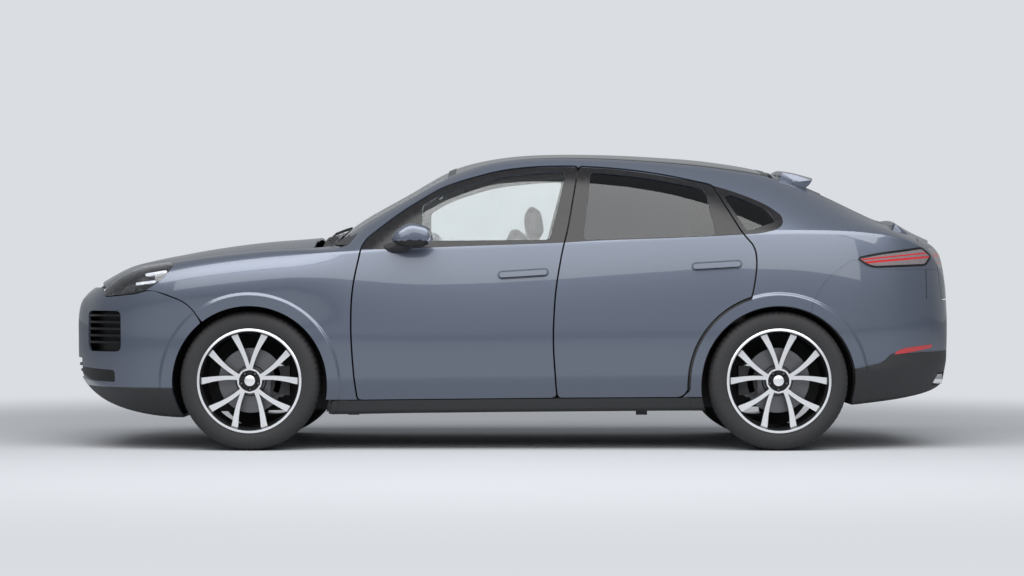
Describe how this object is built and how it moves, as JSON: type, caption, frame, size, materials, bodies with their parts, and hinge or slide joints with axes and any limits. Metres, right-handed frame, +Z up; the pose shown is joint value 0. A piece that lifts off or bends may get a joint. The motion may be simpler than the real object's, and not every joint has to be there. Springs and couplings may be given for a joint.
{
  "type": "coupe sport utility vehicle",
  "caption": "Grey-blue coupe sport utility vehicle with opening doors, hood and tailgate, steered front wheels and a cabin with seats",
  "frame": {"origin": "on the ground, in the middle of the overall length and width", "axes": "+X forward, +Y to the car's left, +Z up"},
  "size_m": [4.93, 2.193, 1.659],
  "materials": {
    "paint": "grey-blue metallic paint under clear lacquer",
    "body_steel": "painted inner steel",
    "trim": "grained black plastic",
    "gloss_trim": "gloss black",
    "glass": "clear green-grey safety glass",
    "dark_glass": "dark tinted safety glass",
    "lamp": "clear lamp lens",
    "tail_lamp": "red and smoked lens",
    "tyre": "black rubber",
    "wheel": "diamond-turned alloy on gloss black",
    "steel": "bare and coated steel",
    "leather": "black leather",
    "liner": "felted black wheel arch liner",
    "carpet": "black carpet",
    "bright": "polished steel"
  },
  "bodies": {
    "root": {"dashboard": "trim", "engine": "steel", "exhaust_tips": "bright", "fenders": "paint", "floor_pan": "body_steel", "front_bumper": "paint", "front_frame": "body_steel", "front_grille": "gloss_trim", "front_seats": "leather", "front_suspension": "steel", "headlamps": "lamp", "luggage_floor": "carpet", "quarter_glass": "dark_glass", "rear_bench": "leather", "rear_bumper": "paint", "rear_suspension": "steel", "rear_valance": "trim", "roof_frame": "body_steel", "roof_glass": "dark_glass", "side_frames": "paint", "sill_trims": "wheel", "steering_wheel": "leather", "tail_frame": "body_steel", "tail_lamps": "tail_lamp", "wheel_liners": "liner", "windscreen": "glass"},
    "hood": {"hood": "paint"},
    "tailgate": {"tailgate": "paint", "tailgate_glass": "dark_glass", "light_bar": "tail_lamp", "roof_spoiler": "paint", "deck_spoiler": "paint"},
    "left_front_door": {"left_front_door": "paint", "left_front_window": "glass", "left_mirror": "paint"},
    "left_rear_door": {"left_rear_door": "paint", "left_rear_window": "dark_glass"},
    "left_knuckle": {"left_knuckle": "steel"},
    "front_left_wheel": {"front_left_tyre": "tyre", "front_left_rim": "wheel"},
    "rear_left_wheel": {"rear_left_tyre": "tyre", "rear_left_rim": "wheel"},
    "right_front_door": {"right_front_door": "paint", "right_front_window": "glass", "right_mirror": "paint"},
    "right_rear_door": {"right_rear_door": "paint", "right_rear_window": "dark_glass"},
    "right_knuckle": {"right_knuckle": "steel"},
    "front_right_wheel": {"front_right_tyre": "tyre", "front_right_rim": "wheel"},
    "rear_right_wheel": {"rear_right_tyre": "tyre", "rear_right_rim": "wheel"}
  },
  "joints": [
    {"name": "left_front_door_hinge", "type": "hinge", "parent": "root", "child": "left_front_door", "pos_m": [0.799, 0.94, 0.6], "axis": [0, 0, -1], "range_deg": [0, 65]},
    {"name": "left_rear_door_hinge", "type": "hinge", "parent": "root", "child": "left_rear_door", "pos_m": [-0.309, 0.94, 0.6], "axis": [0, 0, -1], "range_deg": [0, 65]},
    {"name": "left_steering", "type": "hinge", "parent": "root", "child": "left_knuckle", "pos_m": [1.436, 0.8, 0.382], "axis": [0, 0, 1], "range_deg": [-34, 34]},
    {"name": "front_left_axle", "type": "hinge", "parent": "left_knuckle", "child": "front_left_wheel", "pos_m": [1.436, 0.84, 0.382], "axis": [0, 1, 0], "continuous": true},
    {"name": "rear_left_axle", "type": "hinge", "parent": "root", "child": "rear_left_wheel", "pos_m": [-1.459, 0.836, 0.382], "axis": [0, 1, 0], "continuous": true},
    {"name": "right_front_door_hinge", "type": "hinge", "parent": "root", "child": "right_front_door", "pos_m": [0.799, -0.94, 0.6], "axis": [0, 0, 1], "range_deg": [0, 65]},
    {"name": "right_rear_door_hinge", "type": "hinge", "parent": "root", "child": "right_rear_door", "pos_m": [-0.309, -0.94, 0.6], "axis": [0, 0, 1], "range_deg": [0, 65]},
    {"name": "right_steering", "type": "hinge", "parent": "root", "child": "right_knuckle", "pos_m": [1.436, -0.8, 0.382], "axis": [0, 0, 1], "range_deg": [-34, 34]},
    {"name": "front_right_axle", "type": "hinge", "parent": "right_knuckle", "child": "front_right_wheel", "pos_m": [1.436, -0.84, 0.382], "axis": [0, 1, 0], "continuous": true},
    {"name": "rear_right_axle", "type": "hinge", "parent": "root", "child": "rear_right_wheel", "pos_m": [-1.459, -0.836, 0.382], "axis": [0, 1, 0], "continuous": true},
    {"name": "hood_hinge", "type": "hinge", "parent": "root", "child": "hood", "pos_m": [1.12, 0, 1.12], "axis": [0, -1, 0], "range_deg": [0, 50]},
    {"name": "tailgate_hinge", "type": "hinge", "parent": "root", "child": "tailgate", "pos_m": [-1.5, 0, 1.526], "axis": [0, 1, 0], "range_deg": [0, 78]}
  ],
  "couplings": [
    {"joint": "right_steering", "follows": "left_steering", "ratio": 1}
  ]
}
